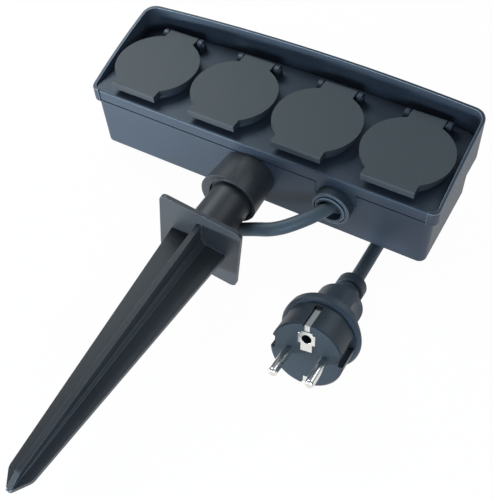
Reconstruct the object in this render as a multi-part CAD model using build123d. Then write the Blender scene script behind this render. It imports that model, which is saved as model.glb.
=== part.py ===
from build123d import *
from math import cos, radians, sin, tan
import os

# Garden socket box for four mains plugs, pushed onto a ground spike.
# Millimetres. The box lies on its back: +Z comes out of the socket face, -Y is the way
# the spike points, +X is to the right. Z = 0 is under the feet, and X = Y = 0 is midway
# between the two wall screws.

# Sockets and their lids
socket_count = 4
socket_pitch = 54.0
recess_radius = 19.75
recess_depth = 17.5
cup_wall = 1.45
cup_floor = 2.4
cup_flange_width = 1.8
cup_flange_height = 1.9
cup_flange_gap = 0.1
pin_pitch = 19.0
pin_radius = 2.4
pin_hole_radius = 2.9
collar_height = 4.0
cover_ring_wall = 1.8
cover_ring_height = 2.4
lid_radius = 25.8
lid_plate = 2.6
lid_rise = 7.9
lid_skirt_wall = 0.9
lid_skirt_depth = 2.8
lid_skirt_gap = 0.7
lift_tab_width = 30.4
lift_tab_reach = 26.9
lift_tab_thickness = 4.6
lift_tab_depth = 12.0
seal_width = 2.6
seal_gap = 0.1

# Lid hinges
hinge_reach = 3.7
knuckle_radius = 3.6
knuckle_width = 20.4
ear_gap = 0.9
ear_thickness = 2.8
hinge_pin_radius = 1.5
hinge_running_fit = 0.06
spring_width = 7.6
spring_wire_radius = 0.55
spring_turns = 6
spring_clearance = 0.3

# Housing: room round the recesses and the hinges, then how the back plane differs
foot_height = 10.0
end_clearance = 4.3
front_clearance = 5.6
rear_clearance = 6.1
end_draft = 0.7
front_draft = 0.3
rear_draft = 0.8
parting_depth = 33.6
rear_bow = 5.6
front_corner_radius = 4.5
rear_corner_radius = 9.0
housing_wall = 2.4
housing_floor = 2.6
back_edge_round = 1.2

# Front cover
cover_overhang = 0.4
cover_front_step = 0.3
parting_gap = 0.8
cover_depth = 42.0
cover_plate = 2.6
cover_skirt_wall = 2.2
cover_edge_round = 1.0
cover_low_edge_round = 0.5

# Rain hood round the two ends and the rear
hood_wall = 1.9
hood_gap = 0.1
hood_front_step = 0.7
hood_low_depth = 30.5
hood_front_depth = 42.6
hood_mid_depth = 50.8
hood_rear_depth = 58.3
hood_tip_inset = 3.9
hood_tip_depth = 7.0

# Gasket between housing and cover
gasket_width = 1.0
gasket_sink = 0.7
gasket_side_gap = 0.12

# Feet, wall screws and the screws that close the box
foot_radius = 6.0
front_foot_place = (66.0, -12.5)
rear_foot_place = (30.0, 26.0)
wall_screw_radius = 2.1
wall_screw_depth = 10.0
wall_boss_radius = 7.0
pillar_end_inset = 7.0
pillar_front_inset = 7.2
pillar_rear_inset = 8.2
pillar_radius = 3.9
pillar_joint_drop = 6.0
screw_radius = 1.75
screw_head_radius = 3.2
screw_head_height = 2.4
screw_hole_gap = 0.1
screw_recess = 3.4
screw_tip_drop = 2.0
screw_hole_floor = 0.4

# Spike and the tube that takes it
spike_axis_depth = 20.7
tube_length = 23.5
tube_floor_thickness = 4.5
tube_radius = 15.7
tube_root_radius = 14.9
tube_bore_radius = 14.25
tube_cover_gap = 0.3
tube_seat_gap = 0.05
shell_mouth_radius = 17.5
shell_root_radius = 15.6
shell_setback = 1.0
shell_side_shift = 2.8
shell_drop = 1.2
tube_screw_offset = 8.0
tube_screw_radius = 1.4
tube_screw_head_radius = 2.6
tube_screw_head_height = 1.8
tube_screw_length = 7.0
tube_screw_seat = 1.1
tube_screw_fit = 0.02
bush_radius = 14.17
bush_setback = 1.6
neck_radius = 12.5
neck_flange_radius = 12.9
neck_fit = 0.06
neck_end_gap = 0.6
neck_bore_radius = 10.2
neck_run = 34.3
flare_run = 6.0
flange_size = 49.8
flange_thickness = 2.4
flange_corner_radius = 4.0
spike_turn = -8.0
rib_root_half_width = 17.1
rib_end_half_width = 6.7
rib_thickness = 2.8
rib_length = 149.7
rib_shoulder_radius = 6.0
tip_length = 9.0
tip_radius = 1.6
core_root_radius = 4.6
core_end_radius = 2.2

# Cable, gland and clamp
cable_radius = 4.0
gland_x = 53.4
gland_depth = 23.5
gland_mouth_reach = 7.3
gland_outer_radius = 11.3
gland_lip_radius = 8.9
gland_lip_step = 0.9
gland_cavity_radius = 7.2
gland_web_reach = 2.0
gland_groove_radius = 8.4
gland_rear_reach = 5.0
gland_rear_radius = 9.9
gland_fit = 0.1
gland_face_gap = 0.2
tongue_half_width = 12.0
tongue_low_depth = 25.4
tongue_gap = 0.3
clamp_inset = 5.3
clamp_width = 8.0
clamp_groove_gap = 0.03
sheath_past_clamp = 5.4
clamp_post_radius = 3.0
clamp_post_pitch = 15.0
clamp_bar_height = 4.0
clamp_screw_radius = 1.4
clamp_screw_head_radius = 2.6
clamp_screw_length = 12.0

# Contacts
rail_depth = 10.0
rail_width = 5.0
rail_thickness = 0.8
clip_top_depth = 24.5
clip_width = 5.0
earth_strip_depth = 21.8
earth_strip_width = 6.0
earth_arm_offset = 17.9
earth_arm_width = 5.0
earth_arm_top_drop = 3.0
carrier_depth = 6.4
carrier_thickness = 2.4
carrier_half_width = 14.0
carrier_wall = 0.9
carrier_wall_height = 5.4
carrier_overhang = 15.0
carrier_post_radius = 3.0
carrier_screw_radius = 1.4
carrier_screw_head_radius = 2.6
carrier_screw_offset_x = 10.0
carrier_screw_y = 6.0
terminal_tab_half_length = 5.5
terminal_tab_half_width = 3.3
terminal_head_radius = 1.9
terminal_screw_radius = 1.5
wire_radius = 1.2
wire_landing = 3.3

# Cores inside the box: how far right, where along Y and how far above the gland's axis
live_over = [(-1.6, -11.5, -0.9), (-3.0, -4.0, 1.8)]
neutral_over = [(1.6, -12.0, -0.9)]
earth_over = [(0.0, -11.0, 1.9), (3.0, -5.0, 3.4)]

# Free cable: points of its centre line, chosen by hand
gland_lead = 11.0
cable_out_points = [
    (45.0, -51.8, 36.4), (33.0, -59.0, 29.5), (15.7, -59.9, 20.4), (-1.5, -57.6, 8.4),
    (-17.5, -47.5, 4.0), (-26.5, -31.0, 4.0), (-32.0, -12.5, 4.0), (-41.0, 5.0, 4.0),
    (-55.5, 18.5, 4.0), (-73.5, 25.5, 4.0), (-87.0, 36.5, 4.0), (-94.4, 50.5, 4.0),
    (-96.0, 63.5, 4.0),
]
cable_in_points = [(86.0, 53.0, 4.0), (83.8, 31.0, 4.0), (81.2, 8.0, 4.0), (78.8, -16.0, 4.0)]
arc_share = 0.45

# Hank of the length that is put away behind the box
hank_left_x = -96.0
hank_right_x = 78.0
hank_near_y = 47.5
hank_far_y = 95.5
hank_layers = 2
arrival_gap = 2.6
tie_width = 6.0
tie_thickness = 0.8
tie_gap = 0.1
tie_x = -9.0

# Mains plug, lying on the same surface
plug_centre = (82.8, -120.55, 27.8)
plug_heading = 3.05
plug_rise = 17.7
plug_roll = 6.3
plug_face_radius = 19.3
plug_insert_depth = 17.9
plug_spigot_radius = 14.0
plug_spigot_depth = 3.6
plug_spigot_gap = 0.05
plug_collar_radius = 21.7
plug_collar_depth = 6.6
plug_shoulder_radius = 16.4
plug_grip_radius = 12.9
plug_grip_depth = 47.2
finger_dish_radius = 17.0
finger_dish_depth = 3.0
finger_dish_middle = 36.0
plug_waist_radius = 6.8
plug_tail_depth = 57.7
tail_ring_depth = 65.7
tail_ring_radius = 8.3
plug_pin_length = 19.0
plug_pin_root = 8.0
earth_hole_offset = 10.0
earth_hole_radius = 2.6
earth_hole_depth = 15.0
earth_plate_width = 6.0
earth_plate_low = 2.5
earth_plate_high = 14.2
earth_wing_width = 9.0
earth_wing_height = 6.0
earth_strip_face_width = 3.0
earth_strip_sink = 0.5
earth_strap_thickness = 0.8
strap_inset = 1.6
strap_slot_width = 4.4
strap_fit = 0.02
strap_end = 2.0
strap_lip = 4.0
guide_groove_width = 7.4
guide_groove_depth = 2.6
guide_groove_rise = 2.6
guide_groove_end = 1.5

# Levels above the surface that the feet stand on
back_z = foot_height
parting_z = foot_height + parting_depth
cover_low_z = parting_z + parting_gap
face_z = foot_height + cover_depth
plate_low_z = face_z - cover_plate
collar_z = face_z + collar_height
recess_z = collar_z - recess_depth
cup_low_z = recess_z - cup_floor
lid_top_z = face_z + lid_rise
lid_low_z = lid_top_z - lid_plate
hinge_z = lid_top_z - knuckle_radius
spike_z = foot_height + spike_axis_depth
gland_z = foot_height + gland_depth
rail_z = foot_height + rail_depth
earth_z = foot_height + earth_strip_depth
carrier_z = foot_height + carrier_depth
floor_z = back_z + housing_floor
cup_radius = recess_radius + cup_wall
ring_radius = cup_radius + 0.1 + cover_ring_wall
skirt_radius = ring_radius + lid_skirt_gap
overlap = 0.5
cut_past = 10.0
socket_xs = [(i - (socket_count - 1) / 2) * socket_pitch for i in range(socket_count)]

# Outlines of the housing, the cover and the hood, and what is placed from them
hinge_y = lid_radius + hinge_reach
hinge_pin_half = knuckle_width / 2 + ear_gap + ear_thickness
parting_half_length = socket_xs[-1] + cup_radius + end_clearance + housing_wall
parting_front_y = -cup_radius - front_clearance - housing_wall
parting_rear_y = hinge_y + rear_clearance
back_half_length = parting_half_length - end_draft
back_front_y = parting_front_y - front_draft
back_rear_y = parting_rear_y + rear_draft
cover_half_length = parting_half_length + cover_overhang
cover_front_y = parting_front_y - cover_front_step
cover_rear_y = parting_rear_y + cover_overhang
hood_front_y = cover_front_y - hood_front_step
hood_tip_half_length = cover_half_length - hood_tip_inset
wall_screw_spacing = 2 * socket_pitch
screw_seat_z = back_z + screw_recess
screw_length = plate_low_z - screw_tip_drop - screw_seat_z
pillar_x = parting_half_length - pillar_end_inset
pillar_front_y = parting_front_y + pillar_front_inset
pillar_rear_y = parting_rear_y - pillar_rear_inset
pillar_places = [
    (side * pillar_x, y) for side in (-1, 1) for y in (pillar_front_y, pillar_rear_y)
]
tube_mouth_y = cover_front_y - tube_length
tube_floor_y = cover_front_y - tube_floor_thickness
tube_seat_y = parting_front_y + housing_wall + tube_screw_seat
flange_y = tube_mouth_y - neck_run
rib_end_y = flange_y - rib_length
tip_y = rib_end_y - tip_length
gland_mouth_y = cover_front_y - gland_mouth_reach
gland_web_y = cover_front_y - gland_web_reach
gland_rear_y = parting_front_y + gland_rear_reach
clamp_y = gland_rear_y + clamp_inset
sheath_end_y = clamp_y + sheath_past_clamp
hank_middle_y = (hank_near_y + hank_far_y) / 2
hank_fold = (hank_far_y - hank_near_y) / 2


def drum(radius, low, high, x=0.0, y=0.0):
    """Upright cylinder between two levels."""
    return Pos(x, y, (low + high) / 2) * Cylinder(radius, high - low)


def slab(x_low, x_high, y_low, y_high, z_low, z_high):
    """Box between two corners."""
    centre = Pos((x_low + x_high) / 2, (y_low + y_high) / 2, (z_low + z_high) / 2)
    return centre * Box(x_high - x_low, y_high - y_low, z_high - z_low)


def rod_y(radius, y_low, y_high, x, z):
    """Cylinder along Y."""
    place = Pos(x, (y_low + y_high) / 2, z) * Rot(90, 0, 0)
    return place * Cylinder(radius, y_high - y_low)


def rod_x(radius, x_low, x_high, y, z):
    """Cylinder along X."""
    place = Pos((x_low + x_high) / 2, y, z) * Rot(0, 90, 0)
    return place * Cylinder(radius, x_high - x_low)


def turned(points, centre=(0.0, 0.0, 0.0), turn=Rot(0, 0, 0)):
    """Solid of revolution from (radius, height) points, about its own Z."""
    outline = Polyline([(r, 0, h) for r, h in points], close=True)
    return Pos(*centre) * turn * revolve(make_face(outline), Axis.Z)


def plan(half_length, front_y, rear_y, bow, front_radius, rear_radius):
    """Outline seen from the front: straight front and ends, rear edge bowed out."""
    corners = [(-half_length, front_y), (half_length, front_y), (half_length, rear_y)]
    edges = [Line(corners[0], corners[1]), Line(corners[1], corners[2])]
    edges.append(ThreePointArc(corners[2], (0, rear_y + bow), (-half_length, rear_y)))
    edges.append(Line((-half_length, rear_y), corners[0]))
    face = make_face(edges)
    rows = face.vertices().group_by(Axis.Y)
    face = fillet(rows[0], front_radius)
    rear = face.vertices().group_by(Axis.Y)[-1]
    return fillet(rear, rear_radius)


def plan_solid(half_length, front_y, rear_y, low, high, inset=0.0):
    """Straight-sided block of the outline, drawn in by inset."""
    face = plan(
        half_length - inset, front_y + inset, rear_y - inset, rear_bow,
        max(front_corner_radius - inset, 1.0), max(rear_corner_radius - inset, 1.0),
    )
    return extrude(Pos(0, 0, low) * face, high - low)


def housing_block(inset, low, high):
    """Housing shape, wider at its back plane than at the parting line."""
    faces = []
    for level in (low, high):
        share = (level - back_z) / parting_depth
        half_length = back_half_length + (parting_half_length - back_half_length) * share
        front_y = back_front_y + (parting_front_y - back_front_y) * share
        rear_y = back_rear_y + (parting_rear_y - back_rear_y) * share
        face = plan(
            half_length - inset, front_y + inset, rear_y - inset, rear_bow,
            front_corner_radius - inset * 0.8, rear_corner_radius - inset,
        )
        faces.append(Pos(0, 0, level) * face)
    return loft(faces)


def gland_notch(half_width, hole_radius, y_low, y_high):
    """Opening in the front wall for the gland and the cover's tongue."""
    low_z = foot_height + tongue_low_depth
    slot = slab(
        gland_x - half_width, gland_x + half_width, y_low, y_high, low_z, parting_z + overlap
    )
    return slot + rod_y(hole_radius, y_low, y_high, gland_x, gland_z)


def make_spike_tube():
    """Tube for the spike's neck, in a flared shell that hangs lower and to one side."""
    length = parting_front_y + overlap - tube_mouth_y
    ring = Pos(0, tube_mouth_y, spike_z) * Rot(-90, 0, 0) * Pos(0, 0, length / 2) * Cone(
        tube_radius, tube_root_radius, length
    )
    length = length - shell_setback
    mouth = Pos(-shell_side_shift, tube_mouth_y + shell_setback, spike_z - shell_drop)
    shell = mouth * Rot(-90, 0, 0) * Pos(0, 0, length / 2) * Cone(
        shell_mouth_radius, shell_root_radius, length
    )
    tube = ring + shell - housing_block(-tube_seat_gap, back_z, parting_z + cut_past)
    side = shell_mouth_radius + shell_side_shift
    tube = tube - slab(
        -side, side, cover_front_y - tube_cover_gap, 0, parting_z, face_z + cut_past
    )
    tube = tube - rod_y(tube_bore_radius, tube_mouth_y - 1, tube_floor_y, 0, spike_z)
    for x in (-tube_screw_offset, tube_screw_offset):
        tip = tube_seat_y - tube_screw_length - screw_hole_gap
        tube = tube - rod_y(tube_screw_radius + tube_screw_fit, tip, tube_seat_y, x, spike_z)
    return tube


def make_tube_screws():
    """Screws from inside the housing, through its front wall into the tube's floor."""
    one = screw(
        tube_screw_radius, tube_screw_head_radius, tube_screw_head_height, tube_screw_length,
        0, 0, 0,
    )
    return Compound([
        Pos(x, tube_seat_y, spike_z) * Rot(-90, 0, 0) * one
        for x in (-tube_screw_offset, tube_screw_offset)
    ])


def make_base_housing():
    body = housing_block(0.0, back_z, parting_z)
    back_edges = body.edges().group_by(Axis.Z)[0]
    body = fillet(back_edges, back_edge_round)
    body = body - housing_block(housing_wall, floor_z, parting_z + overlap)
    wall_y = back_front_y + housing_wall - overlap
    for x in (-tube_screw_offset, tube_screw_offset):
        body = body + rod_y(tube_screw_head_radius + overlap, wall_y, tube_seat_y, x, spike_z)
        hole_radius = tube_screw_radius + screw_hole_gap
        body = body - rod_y(hole_radius, back_front_y - 1, tube_seat_y + 1, x, spike_z)
    for side in (-1, 1):
        for x, y in (front_foot_place, rear_foot_place):
            body = body + drum(foot_radius, 0, back_z + overlap, side * x, y)
        x = side * wall_screw_spacing / 2
        body = body + drum(wall_boss_radius, 0, back_z + overlap, x)
        body = body - drum(wall_screw_radius, -1, wall_screw_depth, x)
    for x, y in pillar_places:
        body = body + drum(pillar_radius, back_z + overlap, parting_z - pillar_joint_drop, x, y)
        body = body - drum(screw_radius + screw_hole_gap, back_z - 1, parting_z, x, y)
        body = body - drum(screw_head_radius + 0.3, back_z - 1, screw_seat_z, x, y)
    for side in (-1, 1):
        x = gland_x + side * clamp_post_pitch / 2
        body = body + drum(clamp_post_radius, floor_z - overlap, gland_z, x, clamp_y)
        low = gland_z + clamp_bar_height - clamp_screw_length
        body = body - drum(clamp_screw_radius + 0.05, low - 0.4, gland_z + 1, x, clamp_y)
    saddle = slab(
        gland_x - 5.0, gland_x + 5.0, clamp_y - clamp_width / 2, clamp_y + clamp_width / 2,
        floor_z - overlap, gland_z - 1.0,
    )
    body = body + saddle - clamp_groove()
    for x, y in carrier_screw_places():
        body = body + drum(carrier_screw_head_radius, floor_z - overlap, carrier_z, x, y)
        body = body - drum(carrier_screw_radius + 0.05, floor_z + 0.4, carrier_z + 1, x, y)
    body = body - gland_notch(
        tongue_half_width + tongue_gap, gland_groove_radius + gland_fit,
        back_front_y - 1, parting_front_y + housing_wall + 1,
    )
    low = parting_z - gasket_sink - gasket_side_gap
    groove = gasket_ring(gasket_side_gap, low, parting_z + overlap)
    return body - groove


def gasket_ring(gap, low, high):
    """Ring that follows the rim of the housing, halfway through its wall."""
    inset = (housing_wall - gasket_width) / 2 - gap
    outer = plan_solid(parting_half_length, parting_front_y, parting_rear_y, low, high, inset)
    inner = plan_solid(
        parting_half_length, parting_front_y, parting_rear_y, low - 1, high + 1,
        inset + gasket_width + 2 * gap,
    )
    gate = slab(
        gland_x - tongue_half_width - 2 * tongue_gap, gland_x + tongue_half_width + 2 * tongue_gap,
        cover_front_y - cut_past, parting_front_y + cut_past, low - 1, high + 1,
    )
    return outer - inner - gate


def make_gasket():
    return gasket_ring(0.0, parting_z - gasket_sink, cover_low_z)


def carrier_screw_places():
    """Places of the screws that hold the contact carrier, past the last sockets."""
    x = socket_xs[-1] + carrier_screw_offset_x
    return [(sx * x, sy * carrier_screw_y) for sx in (-1, 1) for sy in (-1, 1)]


def hood_blank(low, high):
    """Closed wall of the hood, before its front opening and its slope are cut."""
    outer = plan_solid(
        cover_half_length + hood_gap + hood_wall, hood_front_y,
        cover_rear_y + hood_gap + hood_wall, low, high,
    )
    face = plan(
        cover_half_length + hood_gap, hood_front_y + hood_wall, cover_rear_y + hood_gap,
        rear_bow, front_corner_radius - hood_wall * 0.6, rear_corner_radius - hood_wall,
    )
    inner = extrude(Pos(0, 0, low - 1) * face, high - low + 2)
    return outer, inner


def make_rain_hood():
    low = foot_height + hood_low_depth
    high = foot_height + hood_rear_depth
    outer, inner = hood_blank(low, high)
    hood = outer - inner
    front_z = foot_height + hood_front_depth
    mid_z = foot_height + hood_mid_depth
    slope = [
        Line((0, hood_front_y - 2, front_z), (0, hood_front_y + 3, front_z)),
        ThreePointArc((0, hood_front_y + 3, front_z), (0, 0, mid_z), (0, cover_rear_y, high)),
        Line((0, cover_rear_y, high), (0, cover_rear_y, high + 5)),
        Line((0, cover_rear_y, high + 5), (0, hood_front_y - 2, high + 5)),
        Line((0, hood_front_y - 2, high + 5), (0, hood_front_y - 2, front_z)),
    ]
    cutter = extrude(make_face(slope), cover_half_length + cut_past, both=True)
    hood = hood - cutter
    opening = slab(
        -hood_tip_half_length, hood_tip_half_length, hood_front_y - 3, 0, low - 1, high + 1
    )
    hood = hood - opening
    for side in (-1, 1):
        tip = slab(
            side * hood_tip_half_length - 6, side * hood_tip_half_length + 6,
            hood_front_y - 1, hood_front_y + hood_tip_depth, low - 1, parting_z,
        )
        hood = hood - tip
    return hood


def make_front_cover():
    blank = plan_solid(cover_half_length, cover_front_y, cover_rear_y, cover_low_z, face_z)
    front = blank.edges().filter_by(Axis.X).group_by(Axis.Z)[-1].sort_by(Axis.Y)[0]
    blank = fillet(front, cover_edge_round)
    low_front = blank.edges().filter_by(Axis.X).group_by(Axis.Z)[0].sort_by(Axis.Y)[0]
    blank = fillet(low_front, cover_low_edge_round)
    face = plan(
        cover_half_length - cover_skirt_wall, parting_front_y + cover_skirt_wall,
        cover_rear_y - cover_skirt_wall, rear_bow,
        front_corner_radius - cover_skirt_wall, rear_corner_radius - cover_skirt_wall,
    )
    cavity = extrude(Pos(0, 0, cover_low_z - 1) * face, plate_low_z - cover_low_z + 1)
    cover = blank - cavity
    outer, inner = hood_blank(cover_low_z - 2, face_z + 2)
    corners = slab(
        -hood_tip_half_length + hood_gap, hood_tip_half_length - hood_gap,
        hood_front_y - cut_past, cover_rear_y + rear_bow + cut_past, 0, face_z + cut_past,
    )
    cover = cover - (outer - inner - corners)
    for x in socket_xs:
        cover = cover + drum(ring_radius, face_z - overlap, face_z + cover_ring_height, x)
        cover = cover - drum(cup_radius + 0.1, cover_low_z - 1, collar_z, x)
        cover = cover + hinge_ears(x)
    for x, y in pillar_places:
        low = parting_z - pillar_joint_drop
        cover = cover + drum(pillar_radius, low + 0.2, plate_low_z + overlap, x, y)
        hole_top = plate_low_z - screw_hole_floor
        cover = cover - drum(screw_radius + 0.03, low - 1, hole_top, x, y)
    low_z = foot_height + tongue_low_depth + tongue_gap
    tongue = slab(
        gland_x - tongue_half_width, gland_x + tongue_half_width,
        parting_front_y, parting_front_y + cover_skirt_wall, low_z, cover_low_z + 1,
    )
    hole = rod_y(
        gland_groove_radius + gland_fit, cover_front_y - 1, parting_front_y + cut_past,
        gland_x, gland_z,
    )
    return cover + (tongue - hole)


def hinge_ears(x):
    """Two ears that hold the lid's pin, rounded over their tops."""
    ears = []
    for side in (-1, 1):
        inner_x = knuckle_width / 2 + ear_gap
        centre_x = x + side * (inner_x + ear_thickness / 2)
        block = slab(
            centre_x - ear_thickness / 2, centre_x + ear_thickness / 2,
            hinge_y - knuckle_radius, hinge_y + knuckle_radius, face_z - overlap, hinge_z,
        )
        top = rod_x(
            knuckle_radius, centre_x - ear_thickness / 2, centre_x + ear_thickness / 2,
            hinge_y, hinge_z,
        )
        ears.append(block + top)
    pin = rod_x(
        hinge_pin_radius, x - hinge_pin_half - 1, x + hinge_pin_half + 1, hinge_y, hinge_z
    )
    return ears[0] + ears[1] - pin


def make_socket_cup(x):
    """Round recess for a plug, with pin holes, earth slots and two guide ribs."""
    cup = drum(cup_radius, cup_low_z, collar_z, x)
    flange_low = plate_low_z - cup_flange_gap - cup_flange_height
    cup = cup + drum(cup_radius + cup_flange_width, flange_low, plate_low_z - cup_flange_gap, x)
    cup = cup - drum(recess_radius, recess_z, collar_z + 1, x)
    rim = cup.edges().filter_by(GeomType.CIRCLE).group_by(Axis.Z)[-1]
    cup = fillet(rim, 0.4)
    for side in (-1, 1):
        guide_y = side * (recess_radius - 0.6)
        rib = slab(x - 2.0, x + 2.0, guide_y - 1.2, guide_y + 1.2, recess_z, collar_z - 1.5)
        cup = cup + rib
        hole = drum(pin_hole_radius, cup_low_z - 1, recess_z + 1, x, side * pin_pitch / 2)
        cup = cup - hole
        slot_x = x + side * earth_arm_offset
        slot = slab(
            slot_x - 1.5, slot_x + 1.9, -earth_arm_width / 2 - 0.4, earth_arm_width / 2 + 0.4,
            cup_low_z - 1, collar_z - earth_arm_top_drop + 0.8,
        )
        cup = cup - slot
    return cup


def make_lid(x):
    """Hinged lid: round plate, lift tab, skirt over the ring and a split knuckle."""
    plate = drum(lid_radius, lid_low_z, lid_top_z, x)
    half_tab = lift_tab_width / 2
    tab = slab(
        x - half_tab, x + half_tab, -lift_tab_reach, lift_tab_depth - lift_tab_reach,
        lid_top_z - lift_tab_thickness, lid_top_z,
    )
    front_edges = tab.edges().filter_by(Axis.X).group_by(Axis.Y)[0]
    tab = fillet(front_edges, 0.7)
    keep = drum(skirt_radius + lid_skirt_wall, 0, lid_top_z - lid_plate, x)
    tab = tab - keep
    half_knuckle = knuckle_width / 2
    arm = slab(x - half_knuckle, x + half_knuckle, 10.0, hinge_y, lid_low_z, lid_top_z)
    knuckle = rod_x(knuckle_radius, x - half_knuckle, x + half_knuckle, hinge_y, hinge_z)
    skirt = drum(skirt_radius + lid_skirt_wall, lid_low_z - lid_skirt_depth, lid_low_z + 0.1, x)
    skirt = skirt - drum(skirt_radius, 0, lid_low_z, x)
    lid = plate + tab + arm + knuckle + skirt
    lid = lid - rod_x(
        hinge_pin_radius + hinge_running_fit, x - hinge_pin_half, x + hinge_pin_half,
        hinge_y, hinge_z,
    )
    half_window = spring_width / 2 + spring_clearance
    window_radius = hinge_pin_radius + 2 * spring_wire_radius + 2 * spring_clearance
    lid = lid - rod_x(window_radius, x - half_window, x + half_window, hinge_y, hinge_z)
    return lid - slab(
        x - half_window, x + half_window, hinge_y - window_radius, hinge_y + 5,
        hinge_z - 5, hinge_z + 0.7,
    )


def make_lid_seal(x):
    """Soft ring under the lid, over the collar of the recess."""
    low = collar_z + seal_gap
    outer = cup_radius + 0.3
    return drum(outer, low, lid_low_z, x) - drum(outer - seal_width, low - 1, lid_low_z + 1, x)


def make_hinge_pin(x):
    pin = rod_x(
        hinge_pin_radius, x - hinge_pin_half, x + hinge_pin_half, hinge_y, hinge_z
    )
    return chamfer(pin.edges().filter_by(GeomType.CIRCLE), 0.3)


def make_lid_spring(x):
    """Torsion spring round the pin: closed turns and a leg down to the cover, in front."""
    inner = hinge_pin_radius + spring_clearance / 2
    outer = inner + 2 * spring_wire_radius
    step = spring_width / spring_turns
    points = [(inner, -spring_width / 2)]
    for i in range(spring_turns):
        low = -spring_width / 2 + i * step
        points.append((outer - spring_wire_radius, low))
        points.append((outer, low + step * 0.3))
        points.append((outer, low + step * 0.7))
    points.append((outer - spring_wire_radius, spring_width / 2))
    points.append((inner, spring_width / 2))
    coil = turned(points, (x, hinge_y, hinge_z), Rot(0, 90, 0))
    leg_x = x + spring_width / 2 - spring_wire_radius
    leg_y = hinge_y - inner - spring_wire_radius
    half = spring_wire_radius * 0.8
    return coil + slab(leg_x - half, leg_x + half, leg_y - half, leg_y + half, face_z, hinge_z)


def contact_clip(x, y, low):
    """Two leaves that grip a plug pin from both sides, on a rail."""
    gap = pin_radius + 0.15
    leaves = []
    for side in (-1, 1):
        inner = y + side * gap
        outer = y + side * (gap + rail_thickness)
        leaves.append(slab(
            x - clip_width / 2, x + clip_width / 2, min(inner, outer), max(inner, outer),
            low, foot_height + clip_top_depth,
        ))
    reach = gap + rail_thickness
    foot = slab(x - clip_width / 2, x + clip_width / 2, y - reach, y + reach, low,
                low + rail_thickness)
    return leaves[0] + leaves[1] + foot


def terminal_tab(y, low):
    """Wider place on a rail, where a core is screwed down."""
    return slab(
        gland_x - terminal_tab_half_length, gland_x + terminal_tab_half_length,
        y - terminal_tab_half_width, y + terminal_tab_half_width, low, low + rail_thickness,
    )


def make_pin_rail(side):
    """Rail along the box for one pole, with a clip under each recess."""
    y = side * pin_pitch / 2
    end = socket_xs[-1] + clip_width / 2 + 2
    rail = slab(-end, end, y - rail_width / 2, y + rail_width / 2, rail_z,
                rail_z + rail_thickness)
    for x in socket_xs:
        rail = rail + contact_clip(x, y, rail_z)
    hole = drum(terminal_screw_radius, rail_z - 1, rail_z + 2, gland_x, y)
    return rail + terminal_tab(y, rail_z) - hole


def make_earth_rail():
    """Strip between the poles, with two arms that rise in each recess."""
    end = socket_xs[-1] + earth_arm_offset + 0.5
    top = earth_z + rail_thickness
    rail = slab(-end, end, -earth_strip_width / 2, earth_strip_width / 2, earth_z, top)
    for x in socket_xs:
        for side in (-1, 1):
            arm_x = x + side * earth_arm_offset
            arm = slab(
                arm_x - rail_thickness / 2, arm_x + rail_thickness / 2,
                -earth_arm_width / 2, earth_arm_width / 2, earth_z,
                collar_z - earth_arm_top_drop,
            )
            nose_z = collar_z - earth_arm_top_drop - 3.0
            nose = Pos(arm_x - side * 0.2, 0, nose_z) * Rot(90, 0, 0) * Cylinder(
                1.1, earth_arm_width
            )
            rail = rail + arm + nose
    hole = drum(terminal_screw_radius, earth_z - 1, top + 1, gland_x, 0)
    return rail + terminal_tab(0.0, earth_z) - hole


def make_contact_carrier():
    """Insulating tray under the rails, with posts that carry the earth strip."""
    end = socket_xs[-1] + carrier_overhang
    top = rail_z
    tray = slab(-end, end, -carrier_half_width, carrier_half_width, carrier_z, top)
    wall_top = top + carrier_wall_height
    wall_y = carrier_half_width - carrier_wall / 2
    for y in (-wall_y, 0.0, wall_y):
        tray = tray + slab(
            -end, end, y - carrier_wall / 2, y + carrier_wall / 2, top - overlap, wall_top
        )
    for x in socket_xs:
        tray = tray + drum(carrier_post_radius, top - overlap, earth_z, x)
    for side in (-1, 1):
        hole = drum(terminal_screw_radius, carrier_z + 0.6, top + 1, gland_x,
                    side * pin_pitch / 2)
        tray = tray - hole
    for x, y in carrier_screw_places():
        tray = tray - drum(carrier_screw_radius + 0.2, carrier_z - 1, wall_top + 1, x, y)
    return tray


def screw(radius, head_radius, head_height, length, x, y, seat_z, up=True):
    """Pan-head screw with a cross recess. Its head lies beyond seat_z, on the driver's side."""
    head_low, head_high = (seat_z, seat_z + head_height) if up else (seat_z - head_height, seat_z)
    shank_low, shank_high = (seat_z - length, seat_z) if up else (seat_z, seat_z + length)
    body = drum(head_radius, head_low, head_high, x, y)
    outer_end = body.edges().filter_by(GeomType.CIRCLE).sort_by(Axis.Z)[-1 if up else 0]
    body = fillet(outer_end, head_height * 0.4)
    body = body + drum(radius, shank_low, shank_high, x, y)
    drive_low, drive_high = (
        (head_high - head_height * 0.6, head_high + 1) if up
        else (head_low - 1, head_low + head_height * 0.6)
    )
    arm = head_radius * 0.62
    slot = head_radius * 0.17
    body = body - slab(x - arm, x + arm, y - slot, y + slot, drive_low, drive_high)
    return body - slab(x - slot, x + slot, y - arm, y + arm, drive_low, drive_high)


def make_housing_screws():
    return Compound([
        screw(
            screw_radius, screw_head_radius, screw_head_height, screw_length, x, y,
            screw_seat_z, False,
        )
        for x, y in pillar_places
    ])


def make_carrier_screws():
    length = rail_z - floor_z - 0.8
    return Compound([
        screw(carrier_screw_radius, carrier_screw_head_radius, 1.8, length, x, y, rail_z)
        for x, y in carrier_screw_places()
    ])


def clamp_groove():
    """Room for the cable between the clamp's bar and its saddle."""
    return rod_y(
        cable_radius + clamp_groove_gap, clamp_y - clamp_width, clamp_y + clamp_width,
        gland_x, gland_z,
    )


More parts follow.
